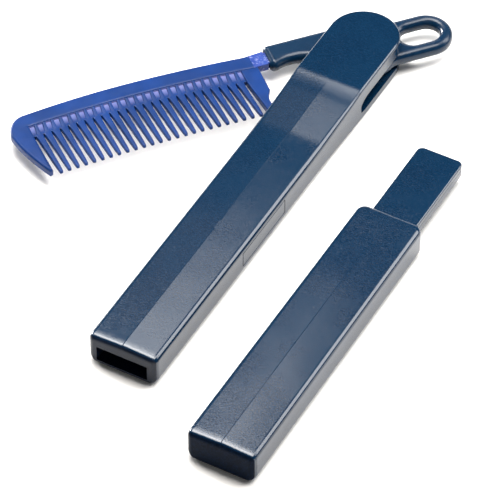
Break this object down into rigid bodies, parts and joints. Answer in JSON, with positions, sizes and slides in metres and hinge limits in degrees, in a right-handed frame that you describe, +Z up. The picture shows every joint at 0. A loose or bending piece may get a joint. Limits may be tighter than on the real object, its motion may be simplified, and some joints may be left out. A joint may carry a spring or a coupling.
{
  "type": "folding styling comb with extension handle",
  "caption": "Rake comb on a flat lever with a hanging loop, folding on a hidden pin in a long slotted case, with a plug-in extension handle lying beside it.",
  "frame": {"origin": "on the case's flat underside, straight under the pin", "axes": "+Y along the case from its square end to its round nose, +Z up from the resting surface, comb towards -X"},
  "size_m": [0.1574, 0.2291, 0.015],
  "materials": {
    "navy_plastic": "semi-gloss moulded ABS with a fine grain",
    "blue_plastic": "satin moulded comb plastic",
    "pin_steel": "plain turned steel"
  },
  "bodies": {
    "handle": {"case": "navy_plastic", "pivot_pin": "pin_steel", "extension_handle": "navy_plastic"},
    "lever": {"comb_arm": "navy_plastic", "comb": "blue_plastic"}
  },
  "joints": [
    {"name": "comb_pivot", "type": "hinge", "parent": "handle", "child": "lever", "pos_m": [0, 0, 0.00635], "axis": [0, 0, 1], "range_deg": [-90, 28]}
  ]
}
